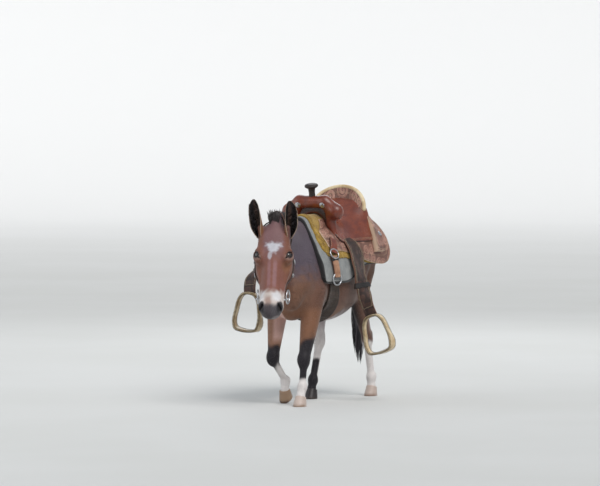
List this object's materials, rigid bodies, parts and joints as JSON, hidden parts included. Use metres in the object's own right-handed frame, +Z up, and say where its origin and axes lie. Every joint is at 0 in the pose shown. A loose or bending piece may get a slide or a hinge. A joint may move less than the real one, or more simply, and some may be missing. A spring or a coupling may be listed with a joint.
{
  "type": "saddled mule",
  "caption": "Life-size still model of a small bay mule at a walk, wearing a western saddle, pad, cinch, bridle and bit.",
  "frame": {"origin": "on the floor, under the middle of the model's bounding box", "axes": "+X to the mule's left, +Y towards its tail, +Z up; the head faces -Y"},
  "size_m": [0.6616, 1.087, 0.9228],
  "materials": {
    "black_hair": "coarse black hair",
    "black_leather": "matt",
    "brown_leather": "worn, satin",
    "coat": "short bay hair, matt",
    "eye": "polished, dark",
    "felt": "grey wool felt",
    "fleece": "mustard fleece",
    "grey_coat": "short grey-brown hair, matt",
    "hoof": "horn, satin",
    "mohair": "cord strands",
    "rawhide": "rawhide, satin",
    "red_leather": "oiled, satin",
    "steel": "worn",
    "tan_leather": "tooled, matt"
  },
  "bodies": {
    "root": {"bit_ring_left": "steel", "bit_ring_right": "steel", "bridle_concho_left": "steel", "bridle_concho_right": "steel", "cantle": "tan_leather", "cheekpiece_left": "brown_leather", "cheekpiece_right": "brown_leather", "chin_strap": "brown_leather", "cinch": "mohair", "cinch_ring_left": "steel", "cinch_ring_right": "steel", "crown": "brown_leather", "ear_left": "coat", "ear_right": "coat", "eye_left": "eye", "eye_right": "eye", "fender_left": "brown_leather", "fender_right": "brown_leather", "fleece": "fleece", "fork": "red_leather", "head": "coat", "hobble_left": "black_leather", "hobble_right": "black_leather", "hoof_front_left": "hoof", "hoof_front_right": "hoof", "hoof_hind_left": "hoof", "hoof_hind_right": "hoof", "horn": "brown_leather", "latigo_left": "tan_leather", "latigo_right": "tan_leather", "leg_front_left": "coat", "leg_front_right": "coat", "leg_hind_left": "coat", "leg_hind_right": "coat", "mouthpiece": "steel", "neck": "grey_coat", "rear_jockey_left": "tan_leather", "rear_jockey_right": "tan_leather", "rigging_dee_left": "steel", "rigging_dee_right": "steel", "rigging_left": "red_leather", "rigging_right": "red_leather", "saddle_pad": "felt", "seat": "red_leather", "skirt_left": "tan_leather", "skirt_right": "tan_leather", "stirrup_left": "rawhide", "stirrup_right": "rawhide", "tail": "black_hair", "torso": "coat"}
  },
  "joints": []
}
